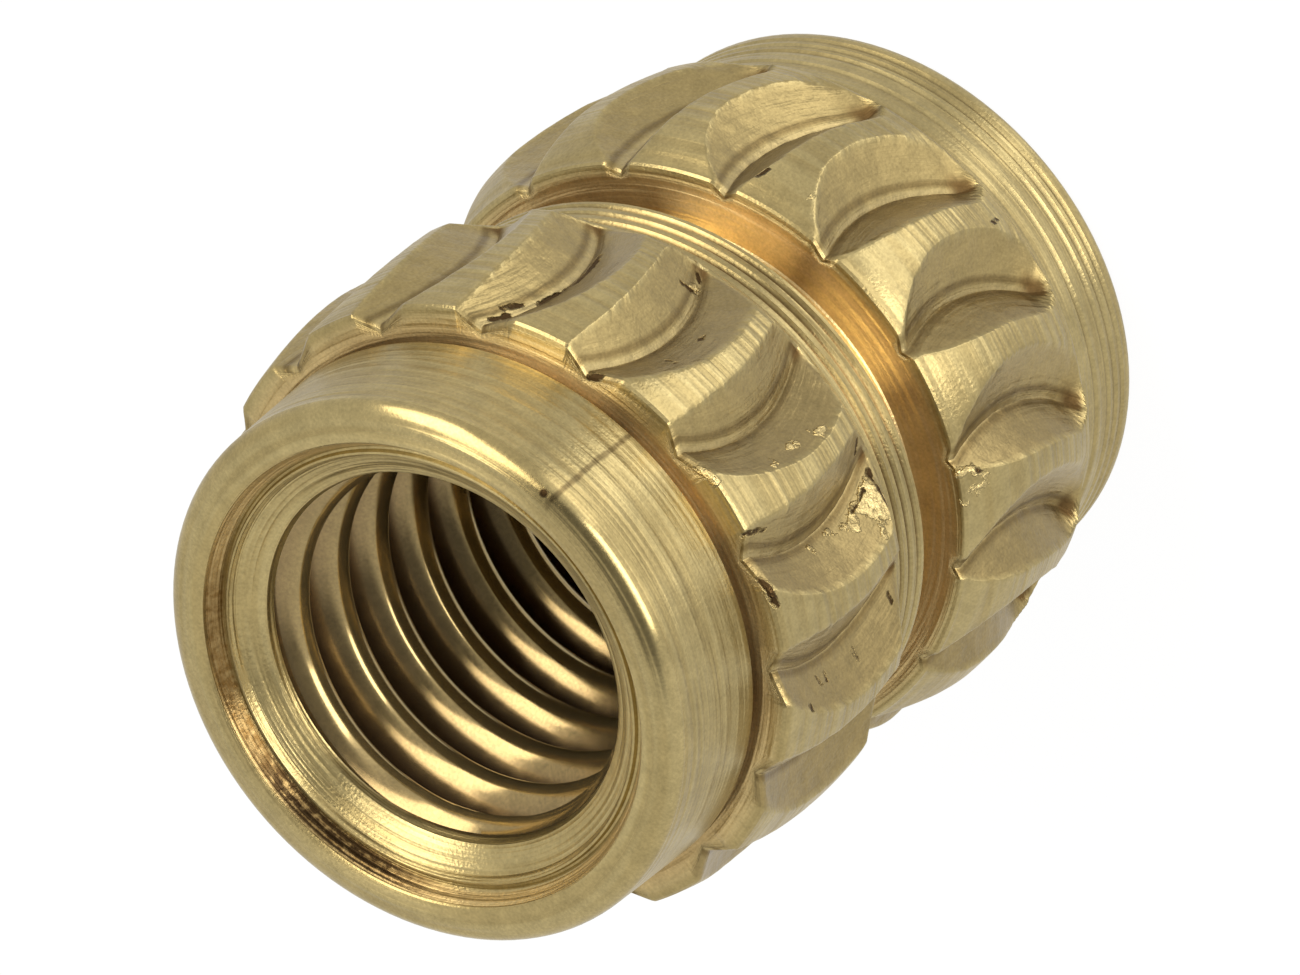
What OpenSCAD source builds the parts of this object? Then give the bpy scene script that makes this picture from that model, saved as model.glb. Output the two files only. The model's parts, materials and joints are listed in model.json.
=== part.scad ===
// Threaded insert for plastics, turned and knurled from one brass bar.
// It stands on its collar end with the open, countersunk end up. The axis is Z.

/* [Thread] */
// Nominal diameter of the internal thread
thread_d = 3; // [2.9:0.1:3]
// Pitch of the thread, which sets the bore that it is cut in
thread_pitch = 0.5; // [0.4:0.05:0.5]
/* [Turned body] */
// Overall length
body_l = 5.85; // [5.65:0.05:8]
// Diameter of the smooth pilot at the open end
pilot_d = 3.98; // [3.9:0.01:4]
// Length of the pilot
pilot_l = 0.95; // [0.7:0.01:1]
// Diameter at the bottom of the neck behind the pilot
neck_d = 3.6; // [3.5:0.02:3.66]
// Width of the neck
neck_w = 0.08; // [0.06:0.01:0.15]
// Diameter of the collar and of the ringed land
collar_d = 4.06; // [4:0.01:4.1]
// Width of the ringed land between the upper band and the groove
land_w = 0.38; // [0.3:0.01:0.5]
// Diameter at the bottom of the groove between the bands
groove_d = 3.5; // [3.4:0.05:3.7]
// Width of the groove
groove_w = 0.33; // [0.25:0.01:0.4]
// Rounding of the outer edges at both ends
end_round = 0.09; // [0.05:0.01:0.12]
/* [Knurled bands] */
// Diameter over the crests
knurl_d = 4.64; // [4.6:0.02:4.7]
// Length of the upper band
upper_band_l = 1.71; // [1.68:0.01:1.75]
// Length of the lower band
lower_band_l = 1.72; // [1.69:0.01:1.76]
// Number of teeth in each band
teeth = 16; // [12:1:18]
// Diameter at the bottom of the teeth where their arc turns
root_d = 4.16; // [4.14:0.02:4.22]
// Radius of the arc that each tooth follows
tooth_arc_r = 1.55; // [1.4:0.05:1.8]
// Slope of the short flank of a tooth in the upper band
upper_steep_angle = 31; // [30:1:35]
// Slope of the short flank of a tooth in the lower band
lower_steep_angle = 36; // [35:1:42]
// Slope of the long flank of a tooth
gentle_angle = 29; // [27:1:33]
// How far the cut of a tooth leans out towards the open end
root_lean = 2; // [1:0.5:3]
/* [Mouth and bore] */
// Diameter of the step at the open end
mouth_d = 3.4; // [3.3:0.02:3.5]
// Depth of the step
mouth_depth = 0.13; // [0.08:0.01:0.2]
// Depth of the shallow cone under the step
cone_depth = 0.28; // [0.22:0.01:0.32]
// Diameter of the lead-in where it meets the thread
lead_in_d = 2.68; // [2.64:0.02:2.8]
// Depth at which the lead-in ends
lead_in_depth = 0.37; // [0.34:0.01:0.5]
// Width of the chamfer at the lower end of the bore
exit_chamfer = 0.3; // [0.1:0.05:0.4]

/* [Hidden] */
$fn = 96;
overlap = 0.01;
collar_r = collar_d / 2;
knurl_r = knurl_d / 2;
bore_r = (thread_d - thread_pitch) / 2;
lead_in_r = lead_in_d / 2;
mouth_r = mouth_d / 2;
// The cone ends a little wider than the lead-in, and the step's wall leans in
lead_in_taper = 0.03;
mouth_wall_lean = mouth_depth / 2;
// The upper band starts under the neck and the lower band under the groove
upper_band_top = body_l - pilot_l - neck_w;
land_top = upper_band_top - upper_band_l;
groove_top = land_top - land_w;
lower_band_top = groove_top - groove_w;
collar_top = lower_band_top - lower_band_l;
// Each band's crest line is a wide arc below its highest ring and another arc above it.
// The band ends in a slope at its lower end and in a wall at its upper end.
back_slope_w = 0.3;
back_slope_h = 0.25;
upper_crest_drop = 0.87;
upper_front_r = 4.4;
upper_back_r = 4.4;
lower_crest_drop = 0.67;
lower_front_r = 1.3;
lower_back_r = 3.4;
// How far below a band's top its teeth turn back, and the angles that their arcs sweep
upper_apex_drop = 0.77;
lower_apex_drop = 0.5;
upper_sweep = [-31, 36];
lower_sweep = [-38, 28];
// Where the first tooth of each band stands around the axis
upper_phase = -3.6;
lower_phase = 14.2;
cutter_h = 0.42;
// Three shallow grooves leave the bright rings on the land
ring_count = 3;
ring_depth = 0.025;
ring_w = 0.05;

// A disc section, rounded at its lower or its upper outer corner
module rounded_step(r, z0, z1, round_bottom, round_top) {
    rb = round_bottom ? end_round : 0;
    rt = round_top ? end_round : 0;
    translate([0, z0]) square([r - end_round, z1 - z0]);
    translate([0, z0 + rb]) square([r, z1 - z0 - rb - rt]);
    if (round_bottom) translate([r - rb, z0 + rb]) circle(rb);
    if (round_top) translate([r - rt, z1 - rt]) circle(rt);
}

// One band before its teeth are cut: a slope at its lower end and a crowned middle
module band_section(top, length, crest_drop, front_r, back_r) {
    crest = top - crest_drop;
    intersection() {
        polygon([
            [0, top - length],
            [collar_r, top - length],
            [collar_r + back_slope_h, top - length + back_slope_w],
            [knurl_r, top - length + back_slope_w + knurl_r - collar_r - back_slope_h],
            [knurl_r, top],
            [0, top]
        ]);
        union() {
            intersection() {
                translate([knurl_r - front_r, crest]) circle(front_r, $fn = 240);
                translate([0, crest]) square([knurl_r, crest_drop]);
            }
            intersection() {
                translate([knurl_r - back_r, crest]) circle(back_r, $fn = 360);
                translate([0, top - length]) square([knurl_r, length - crest_drop + overlap]);
            }
        }
    }
}

module land_section() {
    ring_pitch = land_w / (ring_count + 0.5);
    difference() {
        translate([0, groove_top]) square([collar_r, land_w]);
        for (i = [0 : ring_count - 1])
            translate([collar_r, groove_top + ring_pitch * (i + 0.75)])
                polygon([[overlap, -ring_w / 2], [overlap, ring_w / 2], [-ring_depth, 0]]);
    }
}

// The step, cone, lead-in, bore and lower chamfer, from the bottom up
module bore_section() {
    polygon([
        [0, -overlap],
        [bore_r + exit_chamfer + overlap, -overlap],
        [bore_r, exit_chamfer],
        [bore_r, body_l - lead_in_depth - (lead_in_r - bore_r)],
        [lead_in_r, body_l - lead_in_depth],
        [lead_in_r + lead_in_taper, body_l - cone_depth],
        [mouth_r - mouth_wall_lean, body_l - mouth_depth],
        [mouth_r, body_l],
        [mouth_r, body_l + overlap],
        [0, body_l + overlap]
    ]);
}

module turned_blank() {
    rotate_extrude()
        difference() {
            union() {
                rounded_step(collar_r, 0, collar_top, true, false);
                band_section(lower_band_top, lower_band_l, lower_crest_drop, lower_front_r, lower_back_r);
                translate([0, lower_band_top]) square([groove_d / 2, groove_w]);
                land_section();
                band_section(upper_band_top, upper_band_l, upper_crest_drop, upper_front_r, upper_back_r);
                translate([0, upper_band_top]) square([neck_d / 2, neck_w]);
                rounded_step(pilot_d / 2, body_l - pilot_l, body_l, false, true);
            }
            bore_section();
        }
}

// A ring with a V section that cuts one tooth space. Its axis points out of the insert.
// The side towards the ring's axis has the slope inner_angle, and the far side outer_angle.
module tooth_space(apex, sweep, inner_angle, outer_angle) {
    translate([root_d / 2, 0, apex])
        rotate([0, root_lean, 0])
            translate([0, -tooth_arc_r, 0])
                rotate([0, 90, 0])
                    rotate([0, 0, 90 + sweep[0]])
                        rotate_extrude(angle = sweep[1] - sweep[0])
                            translate([tooth_arc_r, 0])
                                polygon([
                                    [0, 0],
                                    [cutter_h / tan(outer_angle), cutter_h],
                                    [-cutter_h / tan(inner_angle), cutter_h]
                                ]);
}

// The two bands bulge opposite ways, and every short flank faces the same way round
module insert_body() {
    color("#a89664")
        difference() {
            turned_blank();
            for (i = [0 : teeth - 1]) {
                rotate([0, 0, upper_phase + i * 360 / teeth])
                    mirror([0, 1, 0])
                        tooth_space(upper_band_top - upper_apex_drop, upper_sweep,
                            gentle_angle, upper_steep_angle);
                rotate([0, 0, lower_phase + i * 360 / teeth])
                    tooth_space(lower_band_top - lower_apex_drop, lower_sweep,
                        lower_steep_angle, gentle_angle);
            }
        }
}

insert_body();
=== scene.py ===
"""The looks of a brass threaded insert, standing on its collar end.

The insert is one closed mesh, worked out ring by ring: the knurled outside, the countersunk
mouth, the threaded bore and the collar end. Sizes are in millimetres until the mesh is made.
An angle of 0 points along +X and grows anticlockwise, seen from the open end.
"""
import json
import math

import bpy
import numpy as np
from mathutils import Matrix, Vector


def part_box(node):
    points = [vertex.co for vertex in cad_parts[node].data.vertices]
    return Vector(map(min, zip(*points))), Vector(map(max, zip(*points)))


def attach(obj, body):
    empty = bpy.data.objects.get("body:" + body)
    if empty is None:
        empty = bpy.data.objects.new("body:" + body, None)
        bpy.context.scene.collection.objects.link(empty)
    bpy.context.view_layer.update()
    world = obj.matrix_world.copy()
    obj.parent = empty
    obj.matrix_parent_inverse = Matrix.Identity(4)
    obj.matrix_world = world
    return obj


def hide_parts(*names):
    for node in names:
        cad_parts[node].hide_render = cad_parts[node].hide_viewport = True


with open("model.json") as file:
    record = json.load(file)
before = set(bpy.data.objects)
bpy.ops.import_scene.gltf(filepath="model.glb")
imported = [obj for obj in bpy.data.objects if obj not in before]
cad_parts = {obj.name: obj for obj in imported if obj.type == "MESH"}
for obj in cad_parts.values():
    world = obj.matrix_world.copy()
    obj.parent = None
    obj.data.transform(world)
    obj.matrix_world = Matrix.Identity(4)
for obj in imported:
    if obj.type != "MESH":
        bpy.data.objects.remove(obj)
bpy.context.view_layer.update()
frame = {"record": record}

MM = 0.001
SIZES = {m["name"]: m["dims"] for m in frame["record"]["mounts"]}
LOW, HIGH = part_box("insert_body")

# ------------------------------------------------------------------ turned body
BODY_L = (HIGH.z - LOW.z) / MM
KNURL_R = SIZES["knurled_barrel"]["r_mm"]
PILOT_R = SIZES["pilot"]["r_mm"]
PILOT_REAR_R = PILOT_R + 0.02
BORE_R = SIZES["thread"]["r_mm"]
PILOT_L = 0.95
PILOT_EDGE = 0.015
NECK_R = 1.80
NECK_W = 0.08
COLLAR_R = 2.03
LAND_W = 0.38
LAND_EDGE = 0.02
GROOVE_R = 1.75
GROOVE_W = 0.33
GROOVE_FILLET = 0.03
END_ROUND = 0.09
RING_COUNT = 3
RING_DEPTH = 0.035
COLLAR_RINGS = (0.16, 0.25, 0.34, 0.5)
COLLAR_RING_DEPTH = 0.014
RIM_ACROSS = 0.2
RIM_ALONG = 0.12
FACE_R = PILOT_R - RIM_ACROSS

# ------------------------------------------------------------------ knurled bands
TEETH = 16
TOOTH_ANGLE = 360 / TEETH
MEAN_R = 2.15
BAND_ROUND = 0.045
BAND_FOOT_R = 2.03
WALL_START_R = BAND_FOOT_R - 0.04
UNEVENNESS = 0.006

# How much wider a band gets per millimetre up from its lower end
BACK_SLOPE = 0.83

# The bottom of a tooth space is an arc of this radius, in a plane that stands ROOT_R from the
# axis and leans a little
TOOTH_ARC_R = 1.55
ROOT_R = 2.08
ROOT_LEAN = math.radians(-2)
GENTLE_SLOPE = math.tan(math.radians(29))

# Tooth edges are softened over this width, which starts from nothing at a band's lower end and
# is reached FOOT_REACH above it
SOFTENING = 0.014
FOOT_REACH = 0.1

# A tooth space's end rises at the slope END_RAMP, after a soft start. Its edges are softer within
# CORNER_REACH of the end, and painted shade darkens it there, over the two spreads
END_RAMP = 2.2
END_SOFTENING = 0.04
CORNER_SOFTENING = 0.09
CORNER_REACH = 0.16
CORNER_SPREAD_GENTLE = 0.3
CORNER_SPREAD_STEEP = 0.1

# A point this far below the uncut band counts as fully cut
CUT_DEPTH = 0.03

# Degrees on the steep side of a valley that are measured from it, and not from the one before
STEEP_SIDE = 10

# Short marks on the bands, each from one height and angle to another, with its width
DARK_NICKS = (
    (4.01, -50.2, 3.54, -48.3, 0.022), (4.33, -47.6, 3.98, -49.5, 0.012),
    (4.71, -44.0, 4.57, -45.8, 0.016), (4.57, -44.2, 4.43, -46.0, 0.014),
    (4.81, -67.0, 4.80, -69.2, 0.015), (3.46, -67.7, 3.55, -64.5, 0.015),
    (3.35, -66.0, 3.32, -65.0, 0.015), (4.32, -74.5, 4.33, -76.0, 0.016),
    (3.95, -75.5, 3.87, -75.7, 0.014), (4.81, -106.8, 4.63, -108.0, 0.013),
    (4.81, -115.2, 4.81, -118.8, 0.014), (4.81, -118.8, 4.79, -121.2, 0.015),
    (3.31, -114.0, 3.28, -113.3, 0.022), (3.61, -117.2, 3.40, -115.2, 0.013),
    (3.30, -115.8, 3.33, -119.5, 0.012), (4.35, -140.8, 4.33, -141.8, 0.015),
    (4.23, -141.2, 4.24, -142.2, 0.014), (4.56, -142.5, 4.55, -143.5, 0.014),
    (3.86, -141.5, 3.86, -143.5, 0.015), (3.36, -137.0, 3.36, -138.2, 0.015),
    (3.38, -108.5, 3.39, -106.5, 0.015), (2.22, -58.8, 2.15, -59.5, 0.015),
    (2.39, -127.5, 2.36, -127.5, 0.014), (2.27, -126.1, 2.24, -126.6, 0.015),
    (1.12, -92.0, 1.04, -92.3, 0.013))
BURRS = (
    (4.31, -99.8, 4.26, -100.2, 0.016), (4.02, -99.7, 3.95, -100.0, 0.020),
    (3.77, -100.5, 3.67, -100.7, 0.025), (3.67, -118.5, 3.34, -114.3, 0.030),
    (3.49, -118.2, 3.34, -120.0, 0.070), (3.38, -116.5, 3.34, -118.2, 0.060),
    (3.76, -118.5, 3.67, -119.8, 0.025), (4.16, -117.8, 4.12, -118.5, 0.020),
    (3.92, -117.5, 3.85, -118.2, 0.018), (3.54, -122.5, 3.50, -122.0, 0.020),
    (4.81, -92.8, 4.81, -97.0, 0.015), (4.81, -115.5, 4.81, -118.5, 0.015),
    (3.49, -65.8, 3.40, -67.0, 0.018), (2.39, -125.0, 2.31, -125.5, 0.025),
    (2.31, -125.5, 2.22, -127.2, 0.020), (2.39, -130.7, 2.31, -129.8, 0.030),
    (2.28, -129.0, 2.21, -128.3, 0.020), (2.18, -68.8, 2.16, -68.6, 0.012))

# Points further than this from every mark are all alike
MARK_REACH = 0.1

# ------------------------------------------------------------------ mouth and thread
MOUTH_R = 1.70
MOUTH_ROUND = 0.03
MOUTH_DEPTH = 0.13
STEP_Z = BODY_L - MOUTH_DEPTH
CONE_DEPTH = 0.28
LEAD_IN_R = 1.34
LEAD_IN_TAPER = 0.03
LEAD_IN_DEPTH = 0.37
EXIT_CHAMFER = 0.3
THREAD_PITCH = 0.5
THREAD_R = BORE_R + THREAD_PITCH / 2
THREAD_FLANK = math.radians(60)
THREAD_CREST_ROUND = 0.115
THREAD_START = 0.11
THREAD_JOIN = 0.07
BORE_START = BODY_L - LEAD_IN_DEPTH
BORE_END = 0.02

# The raised lip at the foot of the mouth's step: how far in, and how far up
STEP_LIP = (
    (0, 0), (0.015, -0.02), (0.03, -0.015), (0.045, 0.008), (0.06, 0.01), (0.075, -0.012), (0.09, -0.04))

# How strongly the recesses are painted with a warm reflection, standing for the brass that
# other surfaces throw into them
SHADE = {"groove": 0.9, "neck": 0.9, "wall": 0.7, "step": 0.45}

# ------------------------------------------------------------------ how fine the mesh is
GENTLE_CELLS = 11
LAND_CELLS = 9
STEEP_CELLS = 8
PLAIN_COLUMNS = 128
ROWS_PER_TURN = 15

# Rows of a band: below, at and above the lower ends of its tooth spaces
ROWS_BELOW = 4
ROWS_AT_END = 20
ROWS_ABOVE = 42
END_BELOW = 0.09
END_ABOVE = 0.13

# Steps that close in on the surface of a tooth space, each over this share of the way
FLOOR_STEPS = 12
FLOOR_SHARE = 0.8

# A radius outside the whole insert
FAR_OUT = 9.0

# Samples round one tooth, those between which its crest, its long flank's top and its short
# flank's top may lie, and the least width of the crest in degrees
SAMPLES = 450
CREST_SAMPLES = (20, 430)
GENTLE_TOP_SAMPLES = (90, 340)
STEEP_TOP_SAMPLES = (200, 430)
LEAST_CREST = 1.5

# Normals are shared over edges that turn by less than this
SHARP_TURN = math.radians(28)

# ------------------------------------------------------------------ colours of the brass
ROLLED = (0.33, 0.25, 0.106, 1)
TURNED = (0.35, 0.27, 0.116, 1)
TURNING_STREAK = (0.47, 0.385, 0.185, 1)
# Painted shade on the short flanks of the tooth spaces
SHORT_FLANK_SHADE = (0.25, 0.185, 0.08, 1)
# Painted shade along the valleys of the tooth spaces
VALLEY_SHADE = (0.13, 0.085, 0.03, 1)
# Painted highlight beside the valleys of the tooth spaces
VALLEY_HIGHLIGHT = (0.46, 0.36, 0.17, 1)
# Painted shade in the closed ends of the tooth spaces
CLOSED_END_SHADE = (0.13, 0.075, 0.027, 1)
# Painted warm reflection in the recesses
RECESS_REFLECTION = (0.76, 0.575, 0.27, 1)
# Painted shade of the recesses, in patches that also stand for tarnish
TARNISH_AND_SHADE = (0.34, 0.225, 0.09, 1)
# Painted shade in the bottoms of the ring grooves
HOLLOW_SHADE = (0.11, 0.065, 0.022, 1)
# Painted shade on the far wall of the mouth's step
STEP_SHADE = (0.13, 0.07, 0.018, 1)
# Dark dashes along the mouth's step
DARK_DASHES = (0.035, 0.02, 0.008, 1)
# Painted shade in the thread, deepening towards its roots
THREAD_SHADE = (0.19, 0.12, 0.06, 1)
THREAD_ROOT_SHADE = (0.07, 0.035, 0.014, 1)
TORN = (0.68, 0.53, 0.24, 1)
NICK = (0.065, 0.038, 0.015, 1)

# Sides of the insert, as shares of X and Y
FAR_SIDE = (0.17, 0.98)
# The side where the step's dark dashes are strongest
DASHED_SIDE = (-0.26, 0.97)
# This side and NEAR_SIDE are the stretches where light falls, left out of the recesses' painted shade
LIT_SIDE = (0.53, -0.848)
NEAR_SIDE = (-0.035, -1)
SEAM_ACROSS = (0.984, 0.179)

# Where the pilot's rim has a dent: X, Y and Z
RIM_DENT = (0.42, -1.88, BODY_L - 0.02)


# ------------------------------------------------------------------ outlines and rings
def line(p, q, cells):
    """Points from p up to, but not at, q."""
    return [(p[0] + (q[0] - p[0]) * i / cells, p[1] + (q[1] - p[1]) * i / cells) for i in range(cells)]


def arc(centre, radius, start, end, cells):
    """Points round a centre from the angle start up to, but not at, end (degrees)."""
    points = []
    for i in range(cells):
        a = math.radians(start + (end - start) * i / cells)
        points.append((centre[0] + radius * math.cos(a), centre[1] + radius * math.sin(a)))
    return points


def eased(cells):
    """Fractions from 0 up to, but not at, 1, closer together near both ends."""
    return (1 - np.cos(np.pi * np.arange(cells) / cells)) / 2


def smooth(values):
    """The mean of each value and its two neighbours on either side."""
    padded = np.pad(values.astype(float), 2, mode="edge")
    return (padded[:-4] + padded[1:-3] + padded[2:-2] + padded[3:-1] + padded[4:]) / 5


def unevenness(angle, z):
    """A slow waviness of the rolled surfaces, from -1 to 1, the same in each run."""
    a = np.radians(angle)
    long_waves = np.sin(9 * a + 7 * z) + np.sin(23 * a - 17 * z + 1)
    return (long_waves + np.sin(41 * a + 29 * z + 2) + np.sin(67 * a - 38 * z)) / 4


def soft_min(a, b, width):
    """The smaller of two values, with the corner between them rounded over the width."""
    share = np.clip(0.5 + 0.5 * (b - a) / width, 0, 1)
    return b + (a - b) * share - width * share * (1 - share)


class Ring:
    """A closed loop of points round the axis, with what the material reads at each point.

    cut is 1 in a tooth space and 0 on the turned surfaces, across is the way round from a tooth
    space's valley, corner is 1 at the lower end of a valley, and hollow is 1 at the bottom of a
    ring groove of the land.
    """

    def __init__(self, radius, angle, z, region, cut=0.0, across=1.0):
        self.angle = np.asarray(angle, float)
        self.radius = self.filled(radius)
        self.z = self.filled(z)
        self.region = region
        self.cut = self.filled(cut)
        self.across = self.filled(across)
        self.corner = self.filled(0.0)
        self.hollow = self.filled(0.0)

    def filled(self, value):
        """The value at each point, where one number stands for all of them."""
        return np.broadcast_to(value, self.angle.shape).astype(float)

    def points(self):
        a = np.radians(self.angle)
        return np.stack([self.radius * np.cos(a), self.radius * np.sin(a), self.z], 1)

    def away_from(self, marks):
        """How far each point of a band lies outside the given short marks, up to MARK_REACH."""
        nearest = self.filled(MARK_REACH)
        if self.region not in ("upper", "lower"):
            return nearest
        for z1, angle1, z2, angle2, width in marks:
            along = np.array([z2 - z1, math.radians(angle2 - angle1) * KNURL_R])
            turn = np.radians((self.angle - angle1 + 180) % 360 - 180)
            out = np.stack([self.z - z1, turn * KNURL_R])
            share = np.clip((along[0] * out[0] + along[1] * out[1]) / (along @ along), 0, 1)
            away = np.hypot(out[0] - share * along[0], out[1] - share * along[1])
            nearest = np.minimum(nearest, away - width)
        return nearest


def plain_rings(outline, region):
    """Round rings through the points of a turned outline."""
    angle = np.arange(PLAIN_COLUMNS) * 360 / PLAIN_COLUMNS
    rings = [Ring(r, angle, z, region) for r, z in outline]
    if region in ("land", "collar"):
        for ring in rings:
            ring.hollow = (COLLAR_R - ring.radius) / RING_DEPTH
    return rings


# ------------------------------------------------------------------ the knurled bands
class Band:
    """One knurled band: a crowned ring that curved tooth spaces are cut in.

    The crest lies crest_drop below the top, with an arc of front_r above it and one of back_r
    below. Every tooth space follows part of a circle that bends to one side, 1 or -1. Its apex
    lies apex_drop below the top, and the sweep, in degrees from the apex, says how far it goes
    down and up. phase is the angle of tooth space 0, and steep the slope of the short flanks.
    """

    def __init__(self, top, length, steep, crest_drop, front_r, back_r, apex_drop, sweep, phase, side):
        self.top = top
        self.bottom = top - length
        self.crest = top - crest_drop
        self.front_r = front_r
        self.back_r = back_r
        self.apex = top - apex_drop
        self.sweep = [math.radians(s) for s in sweep]
        self.closed_end = self.apex + TOOTH_ARC_R * math.sin(self.sweep[0])
        self.phase = phase
        self.side = side
        slopes = (math.tan(math.radians(steep)), GENTLE_SLOPE)
        self.inner_slope, self.outer_slope = slopes if side > 0 else slopes[::-1]

    def outline(self, z):
        """Radius of the uncut band: an arc on either side of the crest, and a slope at the lower end."""
        arc_r = np.where(z > self.crest, self.front_r, self.back_r)
        crown = KNURL_R - arc_r + np.sqrt(arc_r ** 2 - (z - self.crest) ** 2)
        return np.minimum(crown, COLLAR_R + (z - self.bottom) * BACK_SLOPE)

    def valley(self, z):
        """Angle, in degrees, of the bottom of tooth space 0 at the height z."""
        sine = np.clip((z - self.apex) / (TOOTH_ARC_R * math.cos(ROOT_LEAN)), -0.95, 0.95)
        x = ROOT_R - TOOTH_ARC_R * sine * math.sin(ROOT_LEAN)
        y = self.side * TOOTH_ARC_R * (np.sqrt(1 - sine ** 2) - 1)
        return self.phase + np.degrees(np.arctan2(y, x))

    def over_floor(self, r, local, z, whole):
        """How far points lie outside the surface of a tooth space. A whole one has open ends."""
        x = r * np.cos(local) - ROOT_R
        y = self.side * r * np.sin(local) + TOOTH_ARC_R
        out = x * math.cos(ROOT_LEAN) + (z - self.apex) * math.sin(ROOT_LEAN)
        along = (z - self.apex) * math.cos(ROOT_LEAN) - x * math.sin(ROOT_LEAN)
        away = np.hypot(y, along) - TOOTH_ARC_R
        surface = np.where(away > 0, away * self.outer_slope, -away * self.inner_slope)
        if not whole:
            turn = np.arctan2(along, y)
            beyond = np.maximum(self.sweep[0] - turn, turn - self.sweep[1]) * TOOTH_ARC_R
            surface = surface + (beyond + np.hypot(beyond, END_SOFTENING)) / 2 * END_RAMP
        return out - surface

    def floor(self, angle, z, blank, whole=False):
        """Radius of the tooth spaces' surface, found by steps from the uncut band's radius."""
        nearest = np.round((angle - self.valley(z)) / TOOTH_ANGLE)
        lowest = np.full(np.broadcast(angle, z, blank).shape, FAR_OUT)
        for neighbour in (-1, 0, 1):
            local = np.radians(angle - self.phase - (nearest + neighbour) * TOOTH_ANGLE)
            r = np.array(np.broadcast_to(blank, lowest.shape), float)
            for _ in range(FLOOR_STEPS):
                r = r - FLOOR_SHARE * self.over_floor(r, local, z, whole)
            lowest = np.minimum(lowest, r)
        return lowest

    def columns(self, z, blank):
        """Angles of all columns at each height: valley, long flank, crest and short flank in turn."""
        start = self.valley(z)[:, None]
        sample = start + np.linspace(0, TOOTH_ANGLE, SAMPLES + 1)[None, :]
        floor = self.floor(sample, z[:, None], blank[:, None], whole=True)
        uncut = floor >= blank[:, None]
        peak = np.argmax(floor[:, slice(*CREST_SAMPLES)], axis=1) + CREST_SAMPLES[0]
        first = np.where(uncut.any(1), np.argmax(uncut, axis=1), peak)
        last = np.where(uncut.any(1), SAMPLES - np.argmax(uncut[:, ::-1], axis=1), peak)
        gentle_top = smooth(np.clip(first, *GENTLE_TOP_SAMPLES)) * TOOTH_ANGLE / SAMPLES
        steep_top = smooth(np.clip(last, *STEEP_TOP_SAMPLES)) * TOOTH_ANGLE / SAMPLES
        steep_top = np.maximum(steep_top, gentle_top + LEAST_CREST)
        parts = [
            gentle_top[:, None] * eased(GENTLE_CELLS),
            gentle_top[:, None] + (steep_top - gentle_top)[:, None] * eased(LAND_CELLS),
            steep_top[:, None] + (TOOTH_ANGLE - steep_top)[:, None] * eased(STEEP_CELLS),
        ]
        tooth = start + np.hstack(parts)
        turns = np.arange(TEETH) * TOOTH_ANGLE
        return (tooth[:, None, :] + turns[None, :, None]).reshape(len(z), -1)

    def heights(self):
        """Heights of the rows, which are closer together where the tooth spaces end."""
        dense = np.linspace(self.closed_end - END_BELOW, self.closed_end + END_ABOVE, ROWS_AT_END)
        below = np.linspace(self.bottom, dense[0], ROWS_BELOW + 1)[:-1]
        above = np.linspace(dense[-1], self.top - BAND_ROUND, ROWS_ABOVE + 1)[1:]
        return np.concatenate([below, dense, above])

    def row(self, z, blank, angle, region):
        """The ring at the height z, where the uncut band has the radius blank."""
        floor = self.floor(angle, np.full(angle.shape, z), np.full(angle.shape, blank))
        floor = floor + unevenness(angle, z) * UNEVENNESS
        near_end = max(1 - abs(z - self.closed_end) / CORNER_REACH, 0)
        from_foot = min(1, (z - self.bottom) / FOOT_REACH)
        radius = soft_min(floor, blank, (SOFTENING + near_end * CORNER_SOFTENING) * from_foot)
        cut = np.clip((blank - floor) / CUT_DEPTH, 0, 1)
        turn = (angle - self.valley(z) + STEEP_SIDE) % TOOTH_ANGLE - STEEP_SIDE
        across = turn * math.radians(MEAN_R)
        ring = Ring(radius, angle, z, region, cut, across)
        spread = np.where(across > 0, CORNER_SPREAD_GENTLE, CORNER_SPREAD_STEEP)
        ring.corner = np.maximum(1 - np.hypot(1 - near_end, across / spread), 0) * cut
        return ring

    def rings(self, region):
        """The band from its lower end to its upper edge, and the wall inside the edge."""
        heights = self.heights()
        blank = self.outline(heights)
        angles = self.columns(heights, blank)
        rings = [self.row(z, r, angle, region) for z, r, angle in zip(heights, blank, angles)]
        edge = rings[-1]
        for turn in (30, 60, 90):
            inward = BAND_ROUND * (1 - math.cos(math.radians(turn)))
            upward = BAND_ROUND * math.sin(math.radians(turn))
            z = edge.z + upward
            rings.append(Ring(edge.radius - inward, edge.angle, z, region, edge.cut, edge.across))
        rings.append(Ring(BAND_FOOT_R, edge.angle, self.top, "wall"))
        return rings


UPPER_L = 1.71
LOWER_L = 1.72
UPPER_TOP = BODY_L - PILOT_L - NECK_W
NECK_TOP = UPPER_TOP + NECK_W
LAND_TOP = UPPER_TOP - UPPER_L
GROOVE_TOP = LAND_TOP - LAND_W
LOWER_TOP = GROOVE_TOP - GROOVE_W
UPPER = Band(UPPER_TOP, UPPER_L, steep=31, crest_drop=0.87, front_r=4.4, back_r=4.4,
             apex_drop=0.77, sweep=(-31, 36), phase=-3.6, side=-1)
LOWER = Band(LOWER_TOP, LOWER_L, steep=36, crest_drop=0.67, front_r=1.3, back_r=3.4,
             apex_drop=0.5, sweep=(-38, 28), phase=14.2, side=1)


# ------------------------------------------------------------------ the turned outside
def ring_groove(z, depth):
    """Points of the outline down into a shallow ring groove and out again."""
    dents = ((-0.03, 0), (-0.012, 0.8), (0, 1), (0.012, 0.8), (0.03, 0))
    return [(COLLAR_R - depth * share, z + shift) for shift, share in dents]


def collar_outline():
    """The collar above its rounded edge, with faint turning rings."""
    points = [(COLLAR_R, END_ROUND)]
    for z in COLLAR_RINGS:
        points += ring_groove(z, COLLAR_RING_DEPTH)
    return points


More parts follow.
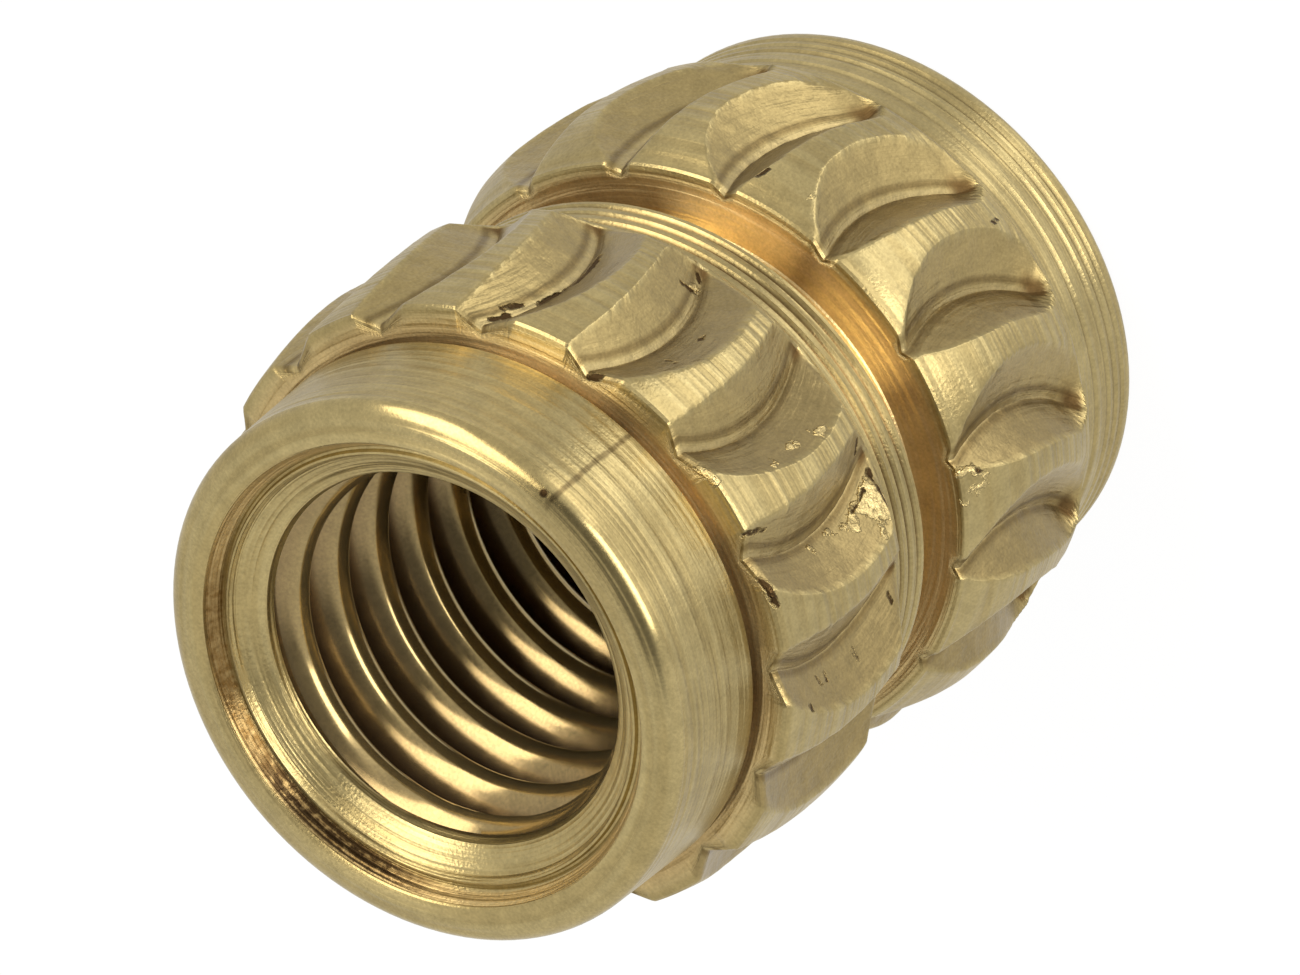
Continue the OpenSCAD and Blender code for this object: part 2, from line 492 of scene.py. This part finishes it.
def groove_outline():
    """The groove between the lower band and the land, with rounded corners at its bottom."""
    fillet_r = GROOVE_R + GROOVE_FILLET
    low = LOWER_TOP + GROOVE_FILLET
    high = GROOVE_TOP - GROOVE_FILLET
    points = line((WALL_START_R, LOWER_TOP), (fillet_r, LOWER_TOP), 3)
    points += arc((fillet_r, low), GROOVE_FILLET, 270, 180, 3)
    points += line((GROOVE_R, low), (GROOVE_R, high), 3)
    points += arc((fillet_r, high), GROOVE_FILLET, 180, 90, 3)
    return points + line((fillet_r, GROOVE_TOP), (COLLAR_R - LAND_EDGE, GROOVE_TOP), 3)


def land_outline():
    """The land between the upper band and the groove, with its ring grooves."""
    pitch = LAND_W / (RING_COUNT + 0.5)
    points = [(COLLAR_R - LAND_EDGE, GROOVE_TOP), (COLLAR_R, GROOVE_TOP + LAND_EDGE)]
    for i in range(RING_COUNT):
        points += ring_groove(GROOVE_TOP + pitch * (i + 0.75), RING_DEPTH)
    return points + [(COLLAR_R, LAND_TOP - 0.012)]


def neck_outline():
    """The thin neck between the upper band and the pilot."""
    points = line((WALL_START_R, UPPER_TOP), (NECK_R, UPPER_TOP), 3)
    points += line((NECK_R, UPPER_TOP), (NECK_R, NECK_TOP), 2)
    return points + line((NECK_R, NECK_TOP), (PILOT_REAR_R - PILOT_EDGE, NECK_TOP), 3)


def pilot_outline():
    """The pilot, a little wider at its lower end, up to and round its rim."""
    low = NECK_TOP + PILOT_EDGE
    points = line((PILOT_REAR_R - PILOT_EDGE, NECK_TOP), (PILOT_REAR_R, low), 1)
    points += line((PILOT_REAR_R, low), (PILOT_R, BODY_L - RIM_ALONG), 8)
    for turn in np.radians(np.linspace(0, 90, 11)):
        inward = RIM_ACROSS * (1 - math.cos(turn))
        points.append((PILOT_R - inward, BODY_L - RIM_ALONG * (1 - math.sin(turn))))
    return points


def outer_rings():
    """The outside from the collar end's edge up to the open end's edge."""
    end_edge = arc((COLLAR_R - END_ROUND, END_ROUND), END_ROUND, -90, 0, 5)
    rings = plain_rings(end_edge, "end")
    rings += plain_rings(collar_outline(), "collar")
    rings += LOWER.rings("lower")
    rings += plain_rings(groove_outline(), "groove")
    rings += plain_rings(land_outline(), "land")
    rings += UPPER.rings("upper")
    rings += plain_rings(neck_outline(), "neck")
    return rings + plain_rings(pilot_outline(), "pilot")


# ------------------------------------------------------------------ face, mouth and thread
def thread_ring(z):
    """A ring of the bore near the height z, with its points moved onto the turns of the thread."""
    ring = plain_rings([(BORE_R, z)], "thread")[0]
    lead = (ring.angle / 360 - THREAD_START) * THREAD_PITCH
    step = np.round((z - lead) / THREAD_PITCH * ROWS_PER_TURN)
    shift = step * THREAD_PITCH / ROWS_PER_TURN + lead - z
    turned_in = min((BORE_START - z) / THREAD_PITCH, 1)
    ring.z = np.clip(z + shift * turned_in, BORE_END, BORE_START)
    off_crest = np.abs((ring.z - lead) / THREAD_PITCH % 1 - 0.5) * THREAD_PITCH
    crest_side = THREAD_CREST_ROUND * math.sin(THREAD_FLANK)
    on_crest = np.minimum(off_crest, crest_side)
    depth = THREAD_CREST_ROUND - np.sqrt(THREAD_CREST_ROUND ** 2 - on_crest ** 2)
    depth = depth + np.maximum(off_crest - crest_side, 0) * math.tan(THREAD_FLANK)
    opening = np.maximum(LEAD_IN_R - (BORE_START - ring.z), BORE_R + EXIT_CHAMFER - ring.z)
    turns = BORE_R + np.minimum(depth, THREAD_R - BORE_R)
    ring.radius = -soft_min(-opening, -turns, THREAD_JOIN)
    return ring


def inner_rings():
    """Face, mouth, thread and collar end, from the open end's edge down and out again."""
    wall_foot = (MOUTH_R - MOUTH_DEPTH / 2, STEP_Z)
    cone_foot = (LEAD_IN_R + LEAD_IN_TAPER, BODY_L - CONE_DEPTH)
    lead_in_foot = (LEAD_IN_R, BORE_START)
    face = line((FACE_R - 0.02, BODY_L), (MOUTH_R + MOUTH_ROUND, BODY_L), 2)
    face += arc((MOUTH_R + MOUTH_ROUND, BODY_L - MOUTH_ROUND), MOUTH_ROUND, 90, 180, 3)
    lip = [(wall_foot[0] - inward, wall_foot[1] + upward) for inward, upward in STEP_LIP]
    cone = lip + line(lip[-1], cone_foot, 6)[1:] + line(cone_foot, lead_in_foot, 3)
    foot = line((BORE_R + EXIT_CHAMFER + 0.01, 0), (COLLAR_R - END_ROUND, 0), 2)
    rings = plain_rings(face, "face")
    rings += plain_rings(line((MOUTH_R, BODY_L - MOUTH_ROUND), wall_foot, 4), "step")
    rings += plain_rings(cone, "cone")
    for z in np.arange(BORE_START, BORE_END, -THREAD_PITCH / ROWS_PER_TURN):
        rings.append(thread_ring(z))
    return rings + plain_rings(foot, "foot")


# ------------------------------------------------------------------ the mesh
def bridge(first, second, a, b):
    """Faces between two rings: quads, or triangles if one ring has more points."""
    n, m = len(a.angle), len(b.angle)
    if n == m:
        quads = [(first + i, first + (i + 1) % n, second + (i + 1) % n, second + i) for i in range(n)]
        if a.region != "thread":
            return quads
        return [half for p, q, r, s in quads for half in ((p, q, s), (q, r, s))]
    order_a = list(np.argsort(a.angle % 360))
    order_b = list(np.argsort(b.angle % 360))
    turn_a = list((a.angle % 360)[order_a]) + [360]
    turn_b = list((b.angle % 360)[order_b]) + [360]
    order_a.append(order_a[0])
    order_b.append(order_b[0])
    faces = []
    i = j = 0
    while i < n or j < m:
        if j == m or (i < n and turn_a[i + 1] <= turn_b[j + 1]):
            faces.append((first + order_a[i], first + order_a[i + 1], second + order_b[j]))
            i += 1
        else:
            faces.append((first + order_a[i], second + order_b[j + 1], second + order_b[j]))
            j += 1
    return [tuple(int(v) for v in face) for face in faces]


def insert_mesh():
    """The closed mesh of the insert, with the values that its material reads at each point."""
    rings = outer_rings() + inner_rings()
    starts = np.cumsum([0] + [len(ring.angle) for ring in rings])
    points = np.vstack([ring.points() for ring in rings]) * MM
    faces = []
    for k, ring in enumerate(rings):
        after = (k + 1) % len(rings)
        faces += bridge(int(starts[k]), int(starts[after]), ring, rings[after])
    mesh = bpy.data.meshes.new("insert")
    mesh.from_pydata(points.tolist(), [], faces)
    values = {
        "cut": [ring.cut for ring in rings],
        "across": [ring.across for ring in rings],
        "shaded": [ring.filled(SHADE.get(ring.region, 0)) for ring in rings],
        "thread": [ring.filled(ring.region == "thread") for ring in rings],
        "corner": [ring.corner for ring in rings],
        "depth": [(ring.radius - BORE_R) / (THREAD_R - BORE_R) for ring in rings],
        "nick": [ring.away_from(DARK_NICKS) for ring in rings],
        "burr": [ring.away_from(BURRS) for ring in rings],
        "hollow": [ring.hollow for ring in rings],
    }
    for name, parts in values.items():
        attribute = mesh.attributes.new(name, "FLOAT", "POINT")
        attribute.data.foreach_set("value", np.concatenate(parts).astype(np.float32))
    mesh.shade_smooth()
    mesh.set_sharp_from_angle(angle=SHARP_TURN)
    return mesh


# ------------------------------------------------------------------ finishes
class Value:
    """A socket's value. Python's operators on it add Math nodes."""

    def __init__(self, finish, socket):
        self.finish = finish
        self.socket = socket

    def math(self, operation, *inputs):
        return self.finish.node("Math", {"operation": operation}, dict(enumerate(inputs)))

    def __add__(self, other):
        return self.math("ADD", self, other)

    def __radd__(self, other):
        return self.math("ADD", other, self)

    def __sub__(self, other):
        return self.math("SUBTRACT", self, other)

    def __rsub__(self, other):
        return self.math("SUBTRACT", other, self)

    def __mul__(self, other):
        return self.math("MULTIPLY", self, other)

    def __truediv__(self, other):
        return self.math("DIVIDE", self, other)

    def __pow__(self, other):
        return self.math("POWER", self, other)

    def __abs__(self):
        return self.math("ABSOLUTE", self)

    def limited(self):
        return self.finish.node("Clamp", {}, {0: self})

    def split(self):
        """The X, Y and Z of a vector."""
        node = self.finish.node("SeparateXYZ", {}, {0: self}).socket.node
        return [Value(self.finish, output) for output in node.outputs]


class Finish:
    """A material or the world while its nodes are put together."""

    def __init__(self, owner):
        owner.use_nodes = True
        self.tree = owner.node_tree
        self.tree.nodes.clear()

    def node(self, kind, settings, inputs, output=0):
        """Adds a node: first its settings, then the values and links of its sockets."""
        node = self.tree.nodes.new("ShaderNode" + kind)
        for name, value in settings.items():
            setattr(node, name, value)
        for name, value in inputs.items():
            if isinstance(value, Value):
                self.tree.links.new(value.socket, node.inputs[name])
            else:
                node.inputs[name].default_value = value
        return Value(self, node.outputs[output]) if node.outputs else None

    def attribute(self, name):
        return self.node("Attribute", {"attribute_name": name}, {}, "Fac")

    def noise(self, vector, scale, detail=2.0, roughness=0.5):
        inputs = {"Vector": vector, "Scale": scale, "Detail": detail, "Roughness": roughness}
        return self.node("TexNoise", {}, inputs)

    def ramp(self, value, *stops):
        """A number that runs straight between the given pairs of input and output."""
        (start, level), *rest = stops
        total = level
        for end, next_level in rest:
            change = next_level - level
            total = self.node("MapRange", {}, {0: value, 1: start, 2: end, 3: 0.0, 4: change}) + total
            start, level = end, next_level
        return total

    def tint(self, colour, amount):
        """The colour made lighter or darker by an amount that changes over the surface."""
        return self.node("VectorMath", {"operation": "SCALE"}, {0: colour, "Scale": amount})

    def blend(self, mask, first, second):
        """A colour that goes from first to second as the mask goes from 0 to 1."""
        return self.node("Mix", {"data_type": "RGBA"}, {0: mask, 6: first, 7: second}, 2)


class Brass(Finish):
    """The insert's finish. Its places are in millimetres, and its masks go from 0 to 1."""

    def __init__(self, material):
        super().__init__(material)
        place = self.node("TexCoord", {}, {}, "Object")
        self.place = self.node("VectorMath", {"operation": "SCALE"}, {0: place, "Scale": 1 / MM})
        self.x, self.y, self.z = self.place.split()
        self.r = (self.x * self.x + self.y * self.y) ** 0.5
        self.cut = self.attribute("cut")
        self.across = self.attribute("across")
        self.shaded = self.attribute("shaded")
        self.thread = self.attribute("thread")
        self.corner = self.attribute("corner")
        self.turned = (1 - self.cut - self.thread).limited()
        self.marks = self.noise(self.drawn_out(0.3, 30.0), 1.0, 2.0, 0.6)
        self.stripes = self.noise(self.drawn_out(0.7, 15.0), 1.0, 1.0, 0.5)
        self.mottle = self.noise(self.place, 7.0, 4.0, 0.6)
        self.rough_spots = self.noise(self.place, 16.0, 3.0, 0.6)
        self.grain = self.noise(self.place, 45.0, 2.0)
        self.nick = self.ramp(self.attribute("nick") + self.rough_spots * 0.05, (0.022, 1), (0.034, 0))
        self.burr = self.ramp(self.attribute("burr") + self.rough_spots * 0.12, (0.055, 1), (0.07, 0))
        self.rim = self.ramp(self.r, (FACE_R, 0), (FACE_R + 0.04, 1)) * \
            self.ramp(self.z, (BODY_L - RIM_ALONG - 0.02, 0), (BODY_L - RIM_ALONG + 0.02, 1))

    def drawn_out(self, round_scale, cross_scale):
        """A place for a noise whose spots are long round the axis and short across it."""
        inputs = {
            0: self.x * round_scale,
            1: self.y * round_scale,
            2: self.z * cross_scale + self.r * cross_scale,
        }
        return self.node("CombineXYZ", {}, inputs)

    def toward(self, side):
        """1 on that side of the insert, and less and less away from it."""
        return (self.x * side[0] + self.y * side[1]) / self.r

    def mouth(self):
        """The mouth and the flat part of the face."""
        return self.ramp(self.r, (FACE_R - 0.02, 1), (FACE_R + 0.02, 0)) * \
            self.ramp(self.z, (BORE_START - 0.02, 0), (BORE_START + 0.02, 1))

    def step(self):
        """The wall and the foot of the mouth's step, on the far side."""
        inner = MOUTH_R - 0.1
        outer = MOUTH_R - 0.01
        ring = self.ramp(self.r, (inner, 0), (inner + 0.03, 1), (outer, 1), (outer + 0.02, 0))
        return ring * self.ramp(self.z, (STEP_Z - 0.03, 0), (STEP_Z - 0.01, 1)) * \
            self.ramp(self.toward(FAR_SIDE), (0.35, 0), (0.75, 1))

    def tarnish_and_shade(self):
        """Painted shade and tarnish everywhere but two lit stretches, in large patches."""
        patches = self.noise(self.place, 1.1, 1.0, 0.5)
        # The stretches that face the light are left out of the painted shade
        lit = self.ramp(self.toward(LIT_SIDE), (0.95, 0), (0.985, 1)) + \
            self.ramp(self.toward(NEAR_SIDE), (0.955, 0), (0.99, 0.75))
        return ((1 - lit) * self.ramp(patches, (0.4, 1), (0.6, 0.6))).limited()

    def seam(self):
        """A dark line up the near side of the pilot, not quite straight."""
        side = self.x * SEAM_ACROSS[0] + self.y * SEAM_ACROSS[1]
        away = abs(side + self.mottle * 0.06 - 0.03)
        return self.ramp(away, (0.012, 1), (0.03, 0)) * \
            self.ramp(self.z, (NECK_TOP, 0), (NECK_TOP + 0.02, 1)) * \
            self.ramp(self.y, (-1.9, 1), (-1.8, 0))

    def dent(self):
        """A dark spot on the rim, at the end of the seam."""
        x, y, z = RIM_DENT
        away = ((self.x - x) ** 2 + (self.y - y) ** 2 + (self.z - z) ** 2) ** 0.5
        return self.ramp(away, (0.025, 1), (0.04, 0))

    def surface_coats(self):
        """Masks and colours of the turning streaks and the painted shade and highlight of the tooth
        spaces.
        """
        streak = self.ramp(self.stripes, (0.42, 0), (0.58, 1))
        # The short flank is painted darker, as shade
        flank = self.ramp(self.across, (0.0, 1), (0.03, 0)) * self.cut
        # Painted shade in bands on either side of each valley
        dark = self.ramp(self.across, (-0.07, 0), (-0.03, 1), (-0.015, 1), (0.0, 0),
                         (0.045, 0), (0.07, 1), (0.09, 1), (0.12, 0)) * self.cut
        # A painted highlight just past each valley
        light = self.ramp(self.across, (-0.01, 0), (0.01, 1), (0.03, 1), (0.05, 0)) * self.cut
        return [
            (self.turned * streak * 0.35, TURNING_STREAK),
            (flank * 0.6, SHORT_FLANK_SHADE),
            (dark * 0.65, VALLEY_SHADE),
            (light * 0.5, VALLEY_HIGHLIGHT),
            # Painted shade at the closed end of each tooth space
            (self.ramp(self.corner, (0.4, 0), (0.8, 0.9)), CLOSED_END_SHADE),
        ]

    def recess_coats(self):
        """Masks and colours of the groove, the neck, the ring grooves, the step and the thread: painted
        reflection and shade, with some tarnish.
        """
        depth = self.attribute("depth")
        step = self.step()
        toward_dashes = self.ramp(self.toward(DASHED_SIDE), (0.86, 0), (0.96, 1))
        dashes = self.ramp(self.marks * 0.6 + self.rough_spots * 0.4, (0.48, 0.95), (0.56, 0))
        return [
            # Painted warm reflection in the groove, neck, wall and step
            (self.shaded, RECESS_REFLECTION),
            # Painted shade in the recesses, with tarnish patches, except where light falls
            (self.shaded * self.tarnish_and_shade(), TARNISH_AND_SHADE),
            # Painted shade in the ring grooves of the land and collar
            (self.ramp(self.attribute("hollow"), (0.3, 0), (0.8, 0.9)), HOLLOW_SHADE),
            # Painted shade on the far step, mottled
            (step * self.ramp(self.rough_spots, (0.35, 0.95), (0.65, 0.6)), STEP_SHADE),
            # Dark dashes on the far step, strongest towards DASHED_SIDE
            (step * toward_dashes * dashes, DARK_DASHES),
            # Painted shade in the thread, darker with depth and darkest at the roots
            (self.thread * self.ramp(depth, (0.0, 0.15), (0.9, 0.8)), THREAD_SHADE),
            (self.thread * self.ramp(depth, (0.6, 0), (1.0, 0.85)), THREAD_ROOT_SHADE),
        ]

    def mark_coats(self):
        """Masks and colours of the torn metal, the nicks, the seam and the dent."""
        torn = self.burr * self.ramp(self.rough_spots, (0.36, 0.2), (0.5, 0.95))
        nicked = (self.nick + self.dent() + self.seam() * 0.6).limited()
        return [(torn, TORN), (nicked, NICK)]

    def tone(self):
        """The colour, coat over coat, before its fine mottling."""
        tone = self.blend(self.turned, ROLLED, TURNED)
        for mask, colour in self.surface_coats() + self.recess_coats() + self.mark_coats():
            tone = self.blend(mask, tone, colour)
        return tone

    def height(self):
        """The relief that is too fine for the mesh."""
        inputs = {0: self.across * 28.0, 1: self.z * 1.5, 2: self.x * 0.6}
        rolling = self.noise(self.node("CombineXYZ", {}, inputs), 1.0, 2.0, 0.6)
        height = self.turned * (self.stripes * 0.020 + self.marks * 0.005)
        height = height + self.cut * (rolling * 0.006 + self.mottle * 0.008)
        height = height + (1 - self.thread - self.rim * 0.8) * self.grain * 0.002
        return height + self.burr * self.rough_spots * 0.03 - self.nick * 0.02


def brass():
    """Brass with the drawn-out shine of turning marks, or an even shine where it is formed."""
    material = bpy.data.materials.new("turned_brass")
    finish = Brass(material)
    mottling = 0.52 + finish.mottle * 0.54 + finish.grain * 0.56
    colour = finish.tint(finish.tone(), mottling * (1 + finish.mouth() * 0.1))
    bump = finish.node("Bump", {}, {"Strength": 1.0, "Distance": MM, "Height": finish.height()})
    turned = finish.node("BsdfPrincipled", {}, {
        "Base Color": colour,
        "Metallic": 1 - finish.shaded * 0.12,
        "Roughness": 0.26 + finish.marks * 0.1 - finish.rim * 0.1,
        "Normal": bump,
        "Anisotropic": 0.85,
        "Anisotropic Rotation": 0.25})
    roughness = 0.34 - finish.thread * 0.21 + finish.mottle * 0.08
    formed = finish.node("BsdfPrincipled", {}, {
        "Base Color": colour,
        "Metallic": 1 - finish.thread * 0.14,
        "Roughness": roughness + finish.corner * 0.4 + finish.nick * 0.3,
        "Normal": bump})
    shader = finish.node("MixShader", {}, {0: 1 - finish.turned, 1: turned, 2: formed})
    finish.node("OutputMaterial", {}, {0: shader})
    return material


def floor_finish():
    """White to the camera, with a soft shadow. Metal looks through it to the world below."""
    material = bpy.data.materials.new("white_floor")
    finish = Finish(material)
    diffuse = finish.node("BsdfDiffuse", {}, {"Color": (0.8, 0.8, 0.8, 1)})
    glow = finish.node("Emission", {}, {"Color": (1, 1, 1, 1), "Strength": 1.03})
    clear = finish.node("BsdfTransparent", {}, {})
    seen = finish.node("LightPath", {}, {}, "Is Camera Ray")
    mirrored = finish.node("LightPath", {}, {}, "Is Glossy Ray")
    surface = finish.node("MixShader", {}, {0: seen * 0.9, 1: diffuse, 2: glow})
    surface = finish.node("MixShader", {}, {0: mirrored, 1: surface, 2: clear})
    finish.node("OutputMaterial", {}, {0: surface})
    return material


# ------------------------------------------------------------------ the insert
def add_insert():
    piece = bpy.data.objects.new("insert", insert_mesh())
    bpy.context.scene.collection.objects.link(piece)
    piece.data.materials.append(brass())
    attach(piece, "root")
    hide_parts("insert_body")


# ------------------------------------------------------------------ floor, camera and lamps
FLOOR_REACH = 0.6


def add_floor():
    corners = [(x * FLOOR_REACH, y * FLOOR_REACH, 0) for x, y in ((-1, -1), (1, -1), (1, 1), (-1, 1))]
    mesh = bpy.data.meshes.new("floor")
    mesh.from_pydata(corners, [], [(0, 1, 2, 3)])
    floor = bpy.data.objects.new("floor", mesh)
    floor.data.materials.append(floor_finish())
    bpy.context.scene.collection.objects.link(floor)


CAMERA_ELEVATION = math.radians(47.69)
CAMERA_ROLL = math.radians(-129.41)
CAMERA_DISTANCE = 239.2 * MM
AIM_BELOW_FACE = 0.055 * MM
AIM_RIGHT = 1.494 * MM
AIM_UP = 1.231 * MM


def add_camera():
    """A long lens that looks down on the open end, turned on its side."""
    back = Vector((0, -math.cos(CAMERA_ELEVATION), math.sin(CAMERA_ELEVATION)))
    level = Vector((1, 0, 0))
    upright = back.cross(level)
    right = level * math.cos(CAMERA_ROLL) + upright * math.sin(CAMERA_ROLL)
    up = back.cross(right)
    aim = Vector((0, 0, BODY_L * MM - AIM_BELOW_FACE)) + right * AIM_RIGHT + up * AIM_UP
    data = bpy.data.cameras.new("camera")
    data.lens = 1000
    data.sensor_width = 36
    data.clip_start = 0.01
    camera = bpy.data.objects.new("camera", data)
    turn = Matrix((right, up, back)).transposed().to_4x4()
    camera.matrix_world = Matrix.Translation(aim + back * CAMERA_DISTANCE) @ turn
    bpy.context.scene.collection.objects.link(camera)
    bpy.context.scene.camera = camera


def direction(azimuth, elevation):
    """A way out from the insert. Azimuth 0 is over -Y, and 90 over +X (degrees)."""
    a, e = math.radians(azimuth), math.radians(elevation)
    return Vector((math.sin(a) * math.cos(e), -math.cos(a) * math.cos(e), math.sin(e)))


LAMP_DISTANCE = 60 * MM


def add_soft_box(name, azimuth, elevation, width, height, radiance, colour):
    """A soft box that faces the insert from LAMP_DISTANCE."""
    out = direction(azimuth, elevation)
    data = bpy.data.lights.new(name, "AREA")
    data.shape = "RECTANGLE"
    data.size = width
    data.size_y = height
    data.energy = radiance * math.pi * width * height
    data.color = colour
    lamp = bpy.data.objects.new(name, data)
    lamp.location = Vector((0, 0, HIGH.z / 2)) + out * LAMP_DISTANCE
    lamp.rotation_euler = out.to_track_quat("Z", "Y").to_euler()
    bpy.context.scene.collection.objects.link(lamp)


def add_world():
    """A room that the camera sees as plain white.

    Metal sees it a little lighter to the left and dark round one place overhead. In front it has
    a faint and a bright panel, from well below the horizon to some way above it (degrees).
    """
    world = bpy.data.worlds.new("studio")
    finish = Finish(world)
    way = finish.node("TexCoord", {}, {}, "Generated")
    x, y, z = way.split()
    azimuth = finish.node("Math", {"operation": "ARCTAN2"}, {0: x, 1: 0 - y}) * math.degrees(1)
    elevation = finish.node("Math", {"operation": "ARCSINE"}, {0: z}) * math.degrees(1)
    inputs = {0: way, 1: direction(-20, 70)}
    overhead = finish.node("VectorMath", {"operation": "DOT_PRODUCT"}, inputs, "Value")
    dark_edge, dark_core = (math.cos(math.radians(angle)) for angle in (34, 20))
    dark = finish.ramp(overhead, (dark_edge, 0), (dark_core, 0.76))
    panels = finish.ramp(azimuth, (-38, 0), (-32, 0.35), (-2, 0.35), (6, 1.35), (21, 1.35), (27, 0)) * \
        finish.ramp(elevation, (-54, 0), (-44, 0.6), (-38, 1.7), (-12, 1.7), (-4, 0.4),
                    (25, 0.4), (40, 0))
    mirrored = 0.95 - x * 0.06 - dark + panels
    seen = finish.node("LightPath", {}, {}, "Is Camera Ray")
    light = seen + (1 - seen) * mirrored
    background = finish.node("Background", {}, {"Color": (1, 1, 1, 1), "Strength": light})
    finish.node("OutputWorld", {}, {0: background})
    bpy.context.scene.world = world


add_insert()
add_floor()
add_camera()
add_world()
add_soft_box("front_box", -17, 25, 38 * MM, 34 * MM, 6.0, (1, 0.98, 0.94))
add_soft_box("side_box", 70, 46, 30 * MM, 60 * MM, 4.7, (1, 0.95, 0.85))
bpy.context.scene.view_settings.view_transform = "Standard"
